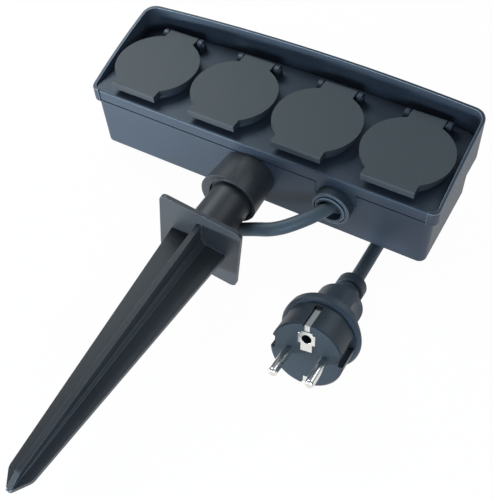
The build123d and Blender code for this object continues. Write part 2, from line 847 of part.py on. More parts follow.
def make_cable_clamp():
    """Bar over the cable, screwed down on two posts."""
    half = clamp_post_pitch / 2 + clamp_post_radius
    bar = slab(
        gland_x - half, gland_x + half, clamp_y - clamp_width / 2, clamp_y + clamp_width / 2,
        gland_z, gland_z + clamp_bar_height + 1.0,
    )
    bar = bar - clamp_groove()
    for side in (-1, 1):
        x = gland_x + side * clamp_post_pitch / 2
        bar = bar - drum(clamp_screw_radius + 0.2, gland_z - 1, gland_z + 9, x, clamp_y)
        bar = bar - drum(
            clamp_post_radius, gland_z + clamp_bar_height, gland_z + 9, x, clamp_y
        )
    return bar


def make_clamp_screws():
    seat = gland_z + clamp_bar_height
    return Compound([
        screw(
            clamp_screw_radius, clamp_screw_head_radius, 1.9, clamp_screw_length,
            gland_x + side * clamp_post_pitch / 2, clamp_y, seat,
        )
        for side in (-1, 1)
    ])


def make_cable_sheath():
    """Cable inside the box, from the gland to the end of its outer jacket."""
    return rod_y(cable_radius, gland_web_y, sheath_end_y, gland_x, gland_z)


def bent_wire(radius, points):
    """Wire along straight runs with tangent arcs, open at both ends."""
    path = FilletPolyline(points, radius=bend_radii(points))
    start = path.location_at(0)
    return sweep(start * Circle(radius), path=path)


def bend_radii(points):
    """Largest arc that the two runs beside each corner allow."""
    radii = []
    for before, corner, after in zip(points, points[1:], points[2:]):
        arrive = Vector(*corner) - Vector(*before)
        leave = Vector(*after) - Vector(*corner)
        half_turn = radians(arrive.get_angle(leave)) / 2
        radii.append(arc_share * min(arrive.length, leave.length) / tan(half_turn))
    return radii


def make_core_wire(start_x, start_z, over, y, level, side):
    """Insulated core: out of the jacket, over what is in its way, down onto a rail."""
    x = gland_x + side * wire_landing
    route = [(gland_x + start_x, sheath_end_y, gland_z + start_z)]
    route += [(gland_x + dx, wire_y, gland_z + dz) for dx, wire_y, dz in over]
    route.append((x, y, gland_z + over[-1][2]))
    route.append((x, y, level + rail_thickness))
    return bent_wire(wire_radius, route)


def make_terminal_screws():
    places = [(pin_pitch / 2, rail_z), (-pin_pitch / 2, rail_z), (0.0, earth_z)]
    screws = []
    for y, level in places:
        top = level + rail_thickness
        shank = drum(terminal_screw_radius - 0.1, level - 1.2, top, gland_x, y)
        head = drum(terminal_head_radius, top, top + 2.2, gland_x, y)
        slot = slab(gland_x - 3, gland_x + 3, y - 0.3, y + 0.3, top + 1.4, top + 3)
        screws.append(shank + head - slot)
    return Compound(screws)


def make_cable_gland():
    """Rubber gland: double-lipped mouth outside, groove in the wall, flange inside."""
    reach = -gland_mouth_y
    face = reach + cover_front_y - gland_face_gap
    wall = reach + parting_front_y + housing_wall + gland_face_gap / 2
    rear = reach + gland_rear_y
    web = reach + gland_web_y
    step = gland_lip_step
    points = [
        (cable_radius, web), (cable_radius, rear), (gland_rear_radius, rear),
        (gland_rear_radius, wall), (gland_groove_radius, wall), (gland_groove_radius, face),
        (gland_outer_radius, face), (gland_outer_radius, 1.5 * step),
        (gland_outer_radius - 0.7, step), (gland_lip_radius + 0.9, step),
        (gland_lip_radius + 0.5, 2 * step), (gland_lip_radius + 0.1, 2 * step),
        (gland_lip_radius, 0.3), (gland_lip_radius - 0.4, 0.0),
        (gland_cavity_radius, 0.0), (gland_cavity_radius - 0.5, web),
    ]
    return turned(points, (gland_x, gland_mouth_y, gland_z), Rot(-90, 0, 0))


def make_spike_bush():
    """Sleeve in the tube that the spike's neck turns with."""
    mouth = tube_mouth_y + bush_setback
    bush = rod_y(bush_radius, mouth, tube_floor_y - 0.2, 0, spike_z)
    return bush - rod_y(neck_radius + neck_fit, mouth - 1, tube_floor_y + 1, 0, spike_z)


def rib_blade(turn):
    """One flat rib, both sides of the axis, narrowing to the tip."""
    root = rib_root_half_width
    end = rib_end_half_width
    face = Polyline([
        (-root, flange_y), (-end, rib_end_y), (-tip_radius, tip_y + 1.0), (0, tip_y),
        (tip_radius, tip_y + 1.0), (end, rib_end_y), (root, flange_y),
    ], close=True)
    blade = extrude(make_face(face), rib_thickness / 2, both=True)
    shoulders = blade.edges().filter_by(Axis.Z)
    corners = shoulders.filter_by_position(Axis.Y, rib_end_y - 1, rib_end_y + 1)
    blade = fillet(corners, rib_shoulder_radius)
    return Rot(0, turn, 0) * blade


def make_ground_spike():
    """Neck, driving plate and four tapering ribs, moulded in one."""
    ribs = rib_blade(0) + rib_blade(90)
    core_length = flange_y - rib_end_y
    core = Pos(0, (flange_y + rib_end_y) / 2, 0) * Rot(90, 0, 0) * Cone(
        core_root_radius, core_end_radius, core_length
    )
    half = flange_size / 2
    plate = slab(-half, half, flange_y, flange_y + flange_thickness, -half, half)
    plate = fillet(plate.edges().filter_by(Axis.Y), flange_corner_radius)
    neck_end = tube_floor_y - neck_end_gap
    neck = rod_y(neck_radius, flange_y + overlap, neck_end, 0, 0)
    base_length = tube_mouth_y - flare_run - flange_y
    flare = Pos(0, flange_y + base_length / 2, 0) * Rot(90, 0, 0) * Cone(
        neck_radius, neck_flange_radius, base_length
    )
    bore = rod_y(neck_bore_radius, flange_y + flange_thickness + 3, neck_end + 1, 0, 0)
    spike = ribs + core + plate + neck + flare - bore
    return Pos(0, 0, spike_z) * Rot(0, -spike_turn, 0) * spike


def free_cable(points, name):
    """Round cable laid through the points, with its bend radii printed."""
    radii = bend_radii(points)
    path = FilletPolyline(points, radius=radii)
    cable = sweep(path.location_at(0) * Circle(cable_radius), path=path)
    print(name, "length", round(path.length, 1), "bend radii", [round(r, 1) for r in radii])
    return cable


def stadium(half_width, left, right, low, high):
    """Flat block with round ends, seen from above."""
    block = slab(left, right, hank_middle_y - half_width, hank_middle_y + half_width, low, high)
    left_end = drum(half_width, low, high, left, hank_middle_y)
    return block + left_end + drum(half_width, low, high, right, hank_middle_y)


def make_cable_hank():
    """Outer shape of the put-away length: two layers, and one more strand round the far side."""
    thickness = 2 * cable_radius
    left = hank_left_x + hank_fold
    right = hank_right_x - hank_fold
    reach = 2 * hank_fold
    outer = stadium(hank_fold + cable_radius, left, right, 0, hank_layers * thickness)
    inner = stadium(hank_fold - cable_radius, left, right, -1, hank_layers * thickness + 1)
    wide = stadium(hank_fold + cable_radius + thickness, left, right, 0, thickness)
    beyond = slab(
        left - reach, right + reach, hank_middle_y, hank_middle_y + reach, 0, thickness
    )
    hank = outer + (wide & beyond) - inner
    arrival = slab(
        hank_left_x - cable_radius - 1, hank_left_x + cable_radius + arrival_gap,
        hank_middle_y - reach, hank_middle_y, -1, thickness + 0.1,
    )
    for low_y, high_y, _ in tie_spans():
        hank = hank - slab(
            tie_x - tie_width / 2 - tie_gap, tie_x + tie_width / 2 + tie_gap,
            low_y - 1, high_y + 1, -1, tie_thickness + tie_gap,
        )
    return hank - arrival


def tie_spans():
    """Low and high Y of the strands in each band, and how far the low strand sticks out."""
    near = (hank_near_y - cable_radius, hank_near_y + cable_radius, 0.0)
    far = (hank_far_y - cable_radius, hank_far_y + 3 * cable_radius, 2 * cable_radius)
    return [near, far]


def band_outline(low_y, high_y, step, gap, low_z):
    """Section of a band, cut off at the corner where only one strand lies."""
    top = hank_layers * 2 * cable_radius
    points = [(low_y - gap, low_z), (high_y + gap, low_z)]
    if step > 0:
        points.append((high_y + gap, top / 2))
        points.append((high_y - step + gap, top + gap))
    else:
        points.append((high_y + gap, top + gap))
    points.append((low_y - gap, top + gap))
    return make_face(Polyline([(tie_x, y, z) for y, z in points], close=True))


def make_hank_ties():
    """Two bands that hold the turns together, one on each run."""
    ties = []
    for low_y, high_y, step in tie_spans():
        outer = band_outline(low_y, high_y, step, tie_gap + tie_thickness, 0.0)
        inner = band_outline(low_y, high_y, step, tie_gap, tie_thickness)
        ties.append(
            extrude(outer, tie_width / 2, both=True) - extrude(inner, tie_width, both=True)
        )
    return Compound(ties)


def plug_place():
    """Plug frame: +Z out of its face, +X along its pin row."""
    forward = Vector(
        sin(radians(plug_heading)) * cos(radians(plug_rise)),
        -cos(radians(plug_heading)) * cos(radians(plug_rise)),
        sin(radians(plug_rise)),
    )
    level = Vector(0, 0, -1).cross(forward).normalized()
    if level.X < 0:
        level = level * -1
    up = forward.cross(level)
    if up.Z < 0:
        up = up * -1
    along = level * cos(radians(plug_roll)) + up * sin(radians(plug_roll))
    return Plane(origin=plug_centre, x_dir=along, z_dir=forward)


def make_plug_insert():
    """Hard front of the plug, with the pins' holes, the earth strips' beds and two guides."""
    spigot_radius = plug_spigot_radius - plug_spigot_gap
    spigot_low = plug_spigot_gap - plug_insert_depth - plug_spigot_depth
    insert = turned([
        (0, 0), (plug_face_radius - 0.8, 0), (plug_face_radius, -0.8),
        (plug_face_radius, -plug_insert_depth), (spigot_radius, -plug_insert_depth),
        (spigot_radius, spigot_low), (0, spigot_low),
    ])
    for side in (-1, 1):
        near = side * (plug_face_radius - guide_groove_depth)
        far = side * (plug_face_radius + 1)
        insert = insert - slab(
            min(near, far), max(near, far), guide_groove_rise - guide_groove_width / 2,
            guide_groove_rise + guide_groove_width / 2, guide_groove_end - plug_insert_depth, 1,
        )
        insert = insert - drum(pin_radius + strap_fit, -plug_pin_root, 1, side * pin_pitch / 2)
    insert = insert - earth_plate(strap_fit, 1) - lower_strap(strap_fit, 1)
    insert = insert - strap_slot(1) - strap_slot(-1)
    insert = insert - drum(earth_hole_radius, -earth_hole_depth, 1, 0, earth_hole_offset)
    return plug_place() * insert


def make_plug_body():
    """Moulded back of the plug: wide collar, grip and a neck that narrows to the cable."""
    seat = -plug_insert_depth
    collar_low = seat - plug_collar_depth
    spigot_low = seat - plug_spigot_depth
    points = [
        (0, spigot_low), (plug_spigot_radius, spigot_low), (plug_spigot_radius, seat),
        (plug_collar_radius - 1, seat), (plug_collar_radius, seat - 1.2),
        (plug_collar_radius, collar_low + 1.4), (plug_collar_radius - 1.6, collar_low),
        (plug_shoulder_radius, collar_low - 1.2), (plug_grip_radius + 0.8, collar_low - 6.0),
        (plug_grip_radius, -plug_grip_depth + 1.5), (plug_grip_radius - 1.5, -plug_grip_depth),
        (plug_waist_radius, -plug_grip_depth - 3.0), (plug_waist_radius, -plug_tail_depth),
        (0, -plug_tail_depth),
    ]
    body = turned(points)
    reach = plug_grip_radius - finger_dish_depth + finger_dish_radius
    for side in (-1, 1):
        body = body - Pos(side * reach, 0, -finger_dish_middle) * Rot(90, 0, 0) * Cylinder(
            finger_dish_radius, 2 * plug_collar_radius
        )
    return plug_place() * body


def strap_slot(side):
    """Slot in the insert's rim that an earth strip lies sunk in."""
    half = strap_slot_width / 2
    near = plug_face_radius - strap_inset
    far = plug_face_radius + 1
    low_y, high_y = (near, far) if side > 0 else (-far, -near)
    return slab(-half, half, low_y, high_y, strap_end - plug_insert_depth, 1)


def earth_plate(gap, top):
    """Earth plate round the hole for an earth pin, and its strip down the insert's side."""
    half = earth_plate_width / 2 + gap
    wing = earth_wing_width / 2 + gap
    strip = earth_strip_face_width / 2 + gap
    out = plug_face_radius - strap_inset
    low = -earth_strap_thickness - gap
    middle = earth_hole_offset
    wing_half = earth_wing_height / 2 + gap
    plate = slab(-half, half, earth_plate_low - gap, earth_plate_high + gap, low, top)
    plate = plate + slab(-wing, wing, middle - wing_half, middle + wing_half, low, top)
    sunk = slab(
        -strip, strip, earth_plate_high - 1, out + gap,
        low - earth_strip_sink, top if top > 0 else -earth_strip_sink,
    )
    side = slab(
        -strip, strip, out - earth_strap_thickness - gap, out + gap,
        strap_end - plug_insert_depth - gap, -earth_strip_sink,
    )
    return plate + sunk + side


def lower_strap(gap, top):
    """Earth strip on the other side of the insert, hooked over its face."""
    strip = earth_strip_face_width / 2 + gap
    out = plug_face_radius - strap_inset
    low = -earth_strap_thickness - earth_strip_sink - gap
    side = slab(
        -strip, strip, -out - gap, -out + earth_strap_thickness + gap,
        strap_end - plug_insert_depth - gap, -earth_strip_sink,
    )
    hook_top = top if top > 0 else -earth_strip_sink
    return side + slab(-strip, strip, -out - gap, -out + strap_lip + gap, low, hook_top)


def make_plug_earth_straps():
    """The strips themselves: thin, with a hole where the earth pin goes in."""
    upper = earth_plate(0.0, 0) - drum(earth_hole_radius, -3, 1, 0, earth_hole_offset)
    return Compound([plug_place() * upper, plug_place() * lower_strap(0.0, 0)])


def make_plug_pins():
    pins = []
    for side in (-1, 1):
        pin = drum(pin_radius, -plug_pin_root, plug_pin_length, side * pin_pitch / 2)
        tip = pin.edges().filter_by(GeomType.CIRCLE).sort_by(Axis.Z)[-1]
        pins.append(plug_place() * fillet(tip, 1.4))
    return Compound(pins)


def make_plug_tail():
    """Ring at the end of the plug that the cable comes out of."""
    points = [
        (0, -plug_tail_depth), (tail_ring_radius - 0.6, -plug_tail_depth),
        (tail_ring_radius, -plug_tail_depth - 0.6), (tail_ring_radius, 1.0 - tail_ring_depth),
        (tail_ring_radius - 1.0, -tail_ring_depth), (0, -tail_ring_depth),
    ]
    return plug_place() * turned(points)


def cable_run_out():
    """Centre line from the gland, under the box, to the hank."""
    start = [
        (gland_x, gland_web_y, gland_z), (gland_x, gland_web_y - gland_lead, gland_z),
    ]
    return start + cable_out_points + [(hank_left_x, hank_middle_y, cable_radius)]


def cable_run_in():
    """Centre line from the hank, under the box, to the end of the plug."""
    place = plug_place()
    end = place.origin - place.z_dir * tail_ring_depth
    lead = end - place.z_dir * ((end.Z - cable_radius) / place.z_dir.Z)
    start = [(hank_right_x + 2 * cable_radius, hank_middle_y, cable_radius)]
    return start + cable_in_points + [(lead.X, lead.Y, lead.Z), (end.X, end.Y, end.Z)]


def save(name, shape):
    shape.label = name
    export_step(shape, os.path.join("parts", name + ".step"))


def main():
    os.makedirs("parts", exist_ok=True)
    save("base_housing", make_base_housing())
    save("front_cover", make_front_cover())
    save("spike_tube", make_spike_tube())
    save("tube_screws", make_tube_screws())
    save("rain_hood", make_rain_hood())
    save("cover_gasket", make_gasket())
    save("housing_screws", make_housing_screws())
    for number, x in enumerate(socket_xs, start=1):
        save(f"socket_cup_{number}", make_socket_cup(x))
        save(f"lid_{number}", make_lid(x))
        save(f"lid_seal_{number}", make_lid_seal(x))
        save(f"hinge_pin_{number}", make_hinge_pin(x))
        save(f"lid_spring_{number}", make_lid_spring(x))
    save("live_rail", make_pin_rail(1))
    save("neutral_rail", make_pin_rail(-1))
    save("earth_rail", make_earth_rail())
    save("contact_carrier", make_contact_carrier())
    save("carrier_screws", make_carrier_screws())
    save("terminal_screws", make_terminal_screws())
    save("wire_live", make_core_wire(-1.6, -0.9, live_over, pin_pitch / 2, rail_z, -1))
    save("wire_neutral", make_core_wire(1.6, -0.9, neutral_over, -pin_pitch / 2, rail_z, 1))
    save("wire_earth", make_core_wire(0.0, 1.9, earth_over, 0.0, earth_z, 1))
    save("cable_clamp", make_cable_clamp())
    save("clamp_screws", make_clamp_screws())
    save("cable_gland", make_cable_gland())
    save("cable_sheath", make_cable_sheath())
    save("spike_bush", make_spike_bush())
    save("ground_spike", make_ground_spike())
    save("mains_cable_out", free_cable(cable_run_out(), "outgoing cable"))
    save("cable_hank", make_cable_hank())
    save("mains_cable_in", free_cable(cable_run_in(), "incoming cable"))
    save("hank_ties", make_hank_ties())
    save("plug_insert", make_plug_insert())
    save("plug_body", make_plug_body())
    save("plug_pins", make_plug_pins())
    save("plug_earth_straps", make_plug_earth_straps())
    save("plug_tail", make_plug_tail())


main()
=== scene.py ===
import math

import bmesh
import bpy
from mathutils import Matrix, Vector


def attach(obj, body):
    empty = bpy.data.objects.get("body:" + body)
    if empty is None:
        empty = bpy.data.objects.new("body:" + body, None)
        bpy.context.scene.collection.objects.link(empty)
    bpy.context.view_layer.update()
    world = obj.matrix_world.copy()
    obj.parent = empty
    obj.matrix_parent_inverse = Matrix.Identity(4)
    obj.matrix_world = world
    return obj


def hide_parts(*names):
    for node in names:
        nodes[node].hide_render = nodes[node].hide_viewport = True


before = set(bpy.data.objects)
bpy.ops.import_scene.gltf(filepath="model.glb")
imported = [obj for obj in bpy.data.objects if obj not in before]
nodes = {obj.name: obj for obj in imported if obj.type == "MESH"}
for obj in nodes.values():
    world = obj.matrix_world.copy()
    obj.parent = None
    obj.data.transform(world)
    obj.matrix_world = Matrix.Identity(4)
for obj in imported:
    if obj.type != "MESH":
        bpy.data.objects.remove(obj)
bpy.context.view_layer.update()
scene = bpy.context.scene
mm = 0.001
print("frame loaded,", len(nodes), "nodes")

# camera, fitted to the photo: where it stands and its own right, up and back directions
cameraFit = {
    "place": (0.17494, -0.29967, 0.37219),
    "right": (0.86329, 0.50172, -0.05485),
    "up": (-0.36799, 0.70008, 0.61195),
    "back": (0.34542, -0.50811, 0.78899),
    "lens": 58.11,
    "sensor": 36.0,
    "near": 0.01,
    "far": 20.0,
}


def makeCamera(spec):
    data = bpy.data.cameras.new("photoCamera")
    data.lens = spec["lens"]
    data.sensor_width = spec["sensor"]
    data.clip_start = spec["near"]
    data.clip_end = spec["far"]
    camera = bpy.data.objects.new("photoCamera", data)
    scene.collection.objects.link(camera)
    columns = Matrix((spec["right"], spec["up"], spec["back"])).transposed()
    camera.matrix_world = Matrix.Translation(spec["place"]) @ columns.to_4x4()
    scene.camera = camera


makeCamera(cameraFit)


# cable: the free stretches are listed points, the hank is worked out by a loop
cable = {
    "radius": 4.0 * mm,
    "length": 1.4,
    "stepsAlong": 10,
    "stepsRound": 6,
    "exit": (0.0534, -0.0315, 0.0335),
    "out": [
        (53.4, -31.5, 33.5), (52.5, -36.5, 34.4), (44.2, -50.0, 33.9), (31.9, -59.0, 28.8),
        (17.4, -59.4, 21.9), (-1.5, -57.6, 8.4), (-17.5, -47.5, 4.0), (-26.5, -31.0, 4.0),
        (-32.0, -12.5, 4.0), (-41.0, 5.0, 4.0), (-55.5, 18.5, 4.0), (-73.5, 25.5, 4.0),
        (-87.0, 36.5, 4.0), (-94.4, 50.5, 4.0), (-96.0, 63.5, 4.0),
    ],
    "in": [
        (86.0, 53.0, 4.0), (83.8, 31.0, 4.0), (81.2, 8.0, 4.0), (78.8, -16.0, 4.0),
        (78.83, -46.08, 4.0), (79.47, -58.05, 7.83),
    ],
}
# hank: the middles of its two folds, the fold's radius, and what a turn rises over the last;
# each near run starts level and climbs over its last part; stepDown has angle, radius, height
hank = {
    "leftX": -72.0,
    "rightX": 54.0,
    "middleY": 71.5,
    "fold": 24.0,
    "lift": 8.0,
    "step": 30.0,
    "turns": 2,
    "farPoints": 4,
    "nearPoints": 3,
    "climbPoints": 2,
    "climbFrom": 0.3,
    "climbShare": 0.9,
    "stepDown": [(262, 24.6, 19.4), (243, 28.5, 15.8), (221, 33.2, 11.9), (200, 33.6, 8.3)],
    "outerStart": 184,
}


def foldPoints(centreX, fromDeg, toDeg, radius, z, stepDeg):
    # control points outside the arc, so that the spline itself runs at the radius
    count = max(1, round(abs(toDeg - fromDeg) / stepDeg))
    step = (toDeg - fromDeg) / count
    reach = radius / math.cos(math.radians(step / 2))
    points = []
    for i in range(count):
        angle = math.radians(fromDeg + (i + 0.5) * step)
        share = (i + 0.5) / count
        level = z[0] + (z[1] - z[0]) * share
        x, y = reach * math.cos(angle), reach * math.sin(angle)
        points.append((centreX + x, hank["middleY"] + y, level))
    return points


def runPoints(fromX, toX, y, z, count):
    points = []
    for i in range(count):
        share = (i + 0.5) / count
        points.append((fromX + (toX - fromX) * share, y, z[0] + (z[1] - z[0]) * share))
    return points


def hankPoints():
    left, right, fold, lift = hank["leftX"], hank["rightX"], hank["fold"], hank["lift"]
    step, low = hank["step"], cable["radius"] / mm
    far, near = hank["middleY"] + fold, hank["middleY"] - fold
    climbX = left * hank["climbFrom"]
    points = []
    for turn in range(hank["turns"]):
        level = low + turn * lift
        start = 180 if turn == 0 else 270
        points += foldPoints(left, start, 90, fold, (level, level), step)
        climbed = level + lift * hank["climbShare"]
        points += runPoints(left, right, far, (level, level), hank["farPoints"])
        points += foldPoints(right, 90, -90, fold, (level, level), step)
        points += runPoints(right, climbX, near, (level, level), hank["nearPoints"])
        points += runPoints(climbX, left, near, (level, climbed), hank["climbPoints"])
    # the last strand steps down outside the others and goes round the far side
    for angle, radius, level in hank["stepDown"]:
        turned = math.radians(angle)
        x, y = radius * math.cos(turned), radius * math.sin(turned)
        points.append((left + x, hank["middleY"] + y, level))
    wide = fold + lift
    points += foldPoints(left, hank["outerStart"], 90, wide, (low, low), step)
    points += runPoints(left, right, far + lift, (low, low), hank["farPoints"])
    points += foldPoints(right, 90, 0, wide, (low, low), step)
    return points


def makeCable():
    route = cable["out"] + hankPoints() + cable["in"]
    curve = bpy.data.curves.new("mainsCable", "CURVE")
    curve.dimensions = "3D"
    curve.resolution_u = cable["stepsAlong"]
    curve.bevel_depth = 1.0
    curve.bevel_resolution = cable["stepsRound"]
    curve.use_fill_caps = True
    spline = curve.splines.new("NURBS")
    spline.points.add(len(route) - 1)
    for point, place in zip(spline.points, route):
        point.co = (place[0] * mm, place[1] * mm, place[2] * mm, 1.0)
        point.radius = cable["radius"]
    spline.order_u = 3
    spline.use_endpoint_u = True
    piece = bpy.data.objects.new("mainsCable", curve)
    scene.collection.objects.link(piece)
    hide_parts("mains_cable_out", "cable_hank", "mains_cable_in")
    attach(piece, "root")
    return piece


cablePiece = makeCable()
print("cable laid")


# shader groups that more than one material uses

def newGroup(name, inputs, outputs):
    group = bpy.data.node_groups.new(name, "ShaderNodeTree")
    for label, kind, value in inputs:
        socket = group.interface.new_socket(name=label, in_out="INPUT", socket_type=kind)
        socket.default_value = value
    for label, kind in outputs:
        group.interface.new_socket(name=label, in_out="OUTPUT", socket_type=kind)
    entry = group.nodes.new("NodeGroupInput")
    leave = group.nodes.new("NodeGroupOutput")
    return group, entry, leave


def setSockets(node, values):
    for label, value in values.items():
        node.inputs[label].default_value = value


def addNode(tree, kind, sockets=None, **settings):
    node = tree.nodes.new(kind)
    for key, value in settings.items():
        setattr(node, key, value)
    setSockets(node, sockets or {})
    return node


def makeGrainGroup():
    # fine spark-eroded grain of a mould, with slow cloudy changes of gloss
    group, entry, leave = newGroup(
        "mouldGrain",
        [("Grain Scale", "NodeSocketFloat", 2600.0), ("Cloud Scale", "NodeSocketFloat", 30.0)],
        [("Height", "NodeSocketFloat"), ("Cloud", "NodeSocketFloat")],
    )
    links = group.links
    place = addNode(group, "ShaderNodeTexCoord")
    grain = addNode(group, "ShaderNodeTexNoise", {"Detail": 2.0, "Roughness": 0.6})
    cloud = addNode(group, "ShaderNodeTexNoise", {"Detail": 4.0, "Roughness": 0.55})
    links.new(place.outputs["Object"], grain.inputs["Vector"])
    links.new(place.outputs["Object"], cloud.inputs["Vector"])
    links.new(entry.outputs["Grain Scale"], grain.inputs["Scale"])
    links.new(entry.outputs["Cloud Scale"], cloud.inputs["Scale"])
    links.new(grain.outputs["Fac"], leave.inputs["Height"])
    links.new(cloud.outputs["Fac"], leave.inputs["Cloud"])
    return group


# the noise levels between which a rubbed mark fades in, and its stretch along Y
rubMark = {"from": 0.62, "to": 0.82, "stretch": (1.0, 0.25, 1.0)}


def makeWearGroup():
    # pale rubbed marks where a noise peaks, as a mask
    group, entry, leave = newGroup(
        "rubMarks",
        [("Scale", "NodeSocketFloat", 120.0), ("Amount", "NodeSocketFloat", 0.5)],
        [("Mask", "NodeSocketFloat")],
    )
    links = group.links
    place = addNode(group, "ShaderNodeTexCoord")
    stretch = addNode(group, "ShaderNodeMapping", {"Scale": rubMark["stretch"]})
    noise = addNode(group, "ShaderNodeTexNoise", {"Detail": 6.0, "Roughness": 0.7})
    peak = addNode(group, "ShaderNodeMapRange", {"From Min": rubMark["from"], "From Max": rubMark["to"]})
    scaled = addNode(group, "ShaderNodeMath", operation="MULTIPLY")
    links.new(place.outputs["Object"], stretch.inputs["Vector"])
    links.new(stretch.outputs["Vector"], noise.inputs["Vector"])
    links.new(entry.outputs["Scale"], noise.inputs["Scale"])
    links.new(noise.outputs["Fac"], peak.inputs["Value"])
    links.new(peak.outputs["Result"], scaled.inputs[0])
    links.new(entry.outputs["Amount"], scaled.inputs[1])
    links.new(scaled.outputs["Value"], leave.inputs["Mask"])
    return group


grainGroup = makeGrainGroup()
wearGroup = makeWearGroup()


def plainMaterial(name, sockets):
    material = bpy.data.materials.new(name)
    material.use_nodes = True
    shader = material.node_tree.nodes["Principled BSDF"]
    setSockets(shader, sockets)
    return material, material.node_tree, shader


# the Z of a face's normal at which it takes the painted side shade wholly, and at which it counts wholly
# as flat
sideLean = {"side": 0.45, "flat": 0.9}


def paintSideShade(tree, base, colour):
    # the faces that don't look along the piece's own Z take a darker colour: painted shade on the sides
    facing = addNode(tree, "ShaderNodeTexCoord")
    parts = addNode(tree, "ShaderNodeSeparateXYZ")
    size = addNode(tree, "ShaderNodeMath", operation="ABSOLUTE")
    flat = addNode(
        tree, "ShaderNodeMapRange", {"From Min": sideLean["side"], "From Max": sideLean["flat"]},
    )
    blend = addNode(tree, "ShaderNodeMix", data_type="RGBA")
    blend.inputs["A"].default_value = (*colour, 1.0)
    tree.links.new(facing.outputs["Normal"], parts.inputs["Vector"])
    tree.links.new(parts.outputs["Z"], size.inputs[0])
    tree.links.new(size.outputs["Value"], flat.inputs["Value"])
    tree.links.new(flat.outputs["Result"], blend.inputs["Factor"])
    tree.links.new(base, blend.inputs["B"])
    return blend.outputs["Result"]


def cloudyMaterial(name, look, bumpDistance, sockets):
    # what plastic and metal share: two close tones, cloudy gloss and a fine grain
    material, tree, shader = plainMaterial(name, sockets)
    links = tree.links
    smooth, rough = look["rough"]
    grain = addNode(tree, "ShaderNodeGroup", node_tree=grainGroup)
    setSockets(grain, {"Grain Scale": look["grainScale"], "Cloud Scale": look["cloudScale"]})
    tone = addNode(tree, "ShaderNodeMix", data_type="RGBA")
    tone.inputs["A"].default_value = (*look["dark"], 1.0)
    tone.inputs["B"].default_value = (*look["light"], 1.0)
    gloss = addNode(tree, "ShaderNodeMapRange", {"To Min": smooth, "To Max": rough})
    bump = addNode(tree, "ShaderNodeBump", {"Strength": look["bump"], "Distance": bumpDistance})
    links.new(grain.outputs["Cloud"], tone.inputs["Factor"])
    links.new(grain.outputs["Cloud"], gloss.inputs["Value"])
    links.new(gloss.outputs["Result"], shader.inputs["Roughness"])
    links.new(grain.outputs["Height"], bump.inputs["Height"])
    links.new(bump.outputs["Normal"], shader.inputs["Normal"])
    return material, tree, shader, tone.outputs["Result"]


def mouldedMaterial(name, look):
    # plastic or rubber: the shared finish with rubbed marks, and painted shade on the sides where asked
    # for
    # the tint colours the reflections: painted bluish reflection where a look gives one
    tint = look.get("tint", (1.0, 1.0, 1.0, 1.0))
    material, tree, shader, base = cloudyMaterial(name, look, 0.2 * mm, {"Specular Tint": tint})
    wear = addNode(tree, "ShaderNodeGroup", node_tree=wearGroup)
    setSockets(wear, {"Scale": look["wearScale"], "Amount": look["wear"]})
    rubbed = addNode(tree, "ShaderNodeMix", data_type="RGBA")
    rubbed.inputs["B"].default_value = (*look["rubbed"], 1.0)
    tree.links.new(base, rubbed.inputs["A"])
    tree.links.new(wear.outputs["Mask"], rubbed.inputs["Factor"])
    base = rubbed.outputs["Result"]
    if "side" in look:
        base = paintSideShade(tree, base, look["side"])
    tree.links.new(base, shader.inputs["Base Color"])
    return material


def metalMaterial(name, look):
    material, tree, shader, base = cloudyMaterial(name, look, 0.1 * mm, {"Metallic": 1.0})
    tree.links.new(base, shader.inputs["Base Color"])
    return material


# bluish tint on the reflections: a painted bluish reflection standing in for bluish light around the
# piece
bluishReflectionTint = (0.72, 0.88, 1.0, 1.0)
housingLook = {
    "dark": (0.016, 0.021, 0.032), "light": (0.027, 0.034, 0.050), "rubbed": (0.08, 0.09, 0.11),
    "grainScale": 2400.0, "cloudScale": 26.0, "wearScale": 90.0, "wear": 0.35,
    "rough": (0.40, 0.56), "bump": 0.22, "tint": bluishReflectionTint,
}
# rounded edges: a lighter, glossier tone that paints a highlight along the rims
housingEdgeHighlightLook = {
    "dark": (0.110, 0.130, 0.155), "light": (0.160, 0.185, 0.215), "rubbed": (0.22, 0.24, 0.27),
    "grainScale": 2400.0, "cloudScale": 60.0, "wearScale": 120.0, "wear": 0.3,
    "rough": (0.34, 0.46), "bump": 0.1, "tint": bluishReflectionTint,
}
# lids: the side colour is a painted shade on their vertical faces
lidLook = {
    "dark": (0.026, 0.036, 0.043), "light": (0.034, 0.046, 0.053), "rubbed": (0.06, 0.075, 0.084),
    "grainScale": 2600.0, "cloudScale": 34.0, "wearScale": 120.0, "wear": 0.25,
    "rough": (0.55, 0.68), "bump": 0.25, "side": (0.010, 0.014, 0.020),
}
spikeLook = {
    "dark": (0.017, 0.018, 0.021), "light": (0.028, 0.030, 0.034), "rubbed": (0.08, 0.09, 0.10),
    "grainScale": 2000.0, "cloudScale": 22.0, "wearScale": 70.0, "wear": 0.45,
    "rough": (0.38, 0.54), "bump": 0.25, "tint": (0.84, 0.90, 0.96, 1.0),
}
cableLook = {
    "dark": (0.040, 0.052, 0.064), "light": (0.058, 0.074, 0.088), "rubbed": (0.10, 0.12, 0.13),
    "grainScale": 1800.0, "cloudScale": 40.0, "wearScale": 110.0, "wear": 0.3,
    "rough": (0.48, 0.62), "bump": 0.3, "tint": bluishReflectionTint,
}
plugLook = {
    "dark": (0.020, 0.026, 0.036), "light": (0.034, 0.043, 0.056), "rubbed": (0.09, 0.10, 0.12),
    "grainScale": 3000.0, "cloudScale": 45.0, "wearScale": 150.0, "wear": 0.25,
    "rough": (0.36, 0.50), "bump": 0.22, "tint": bluishReflectionTint,
}
plugFaceLook = {**plugLook, "dark": (0.008, 0.011, 0.016), "light": (0.015, 0.020, 0.027)}
glandLook = {**cableLook, "dark": (0.014, 0.019, 0.027), "light": (0.024, 0.031, 0.042)}
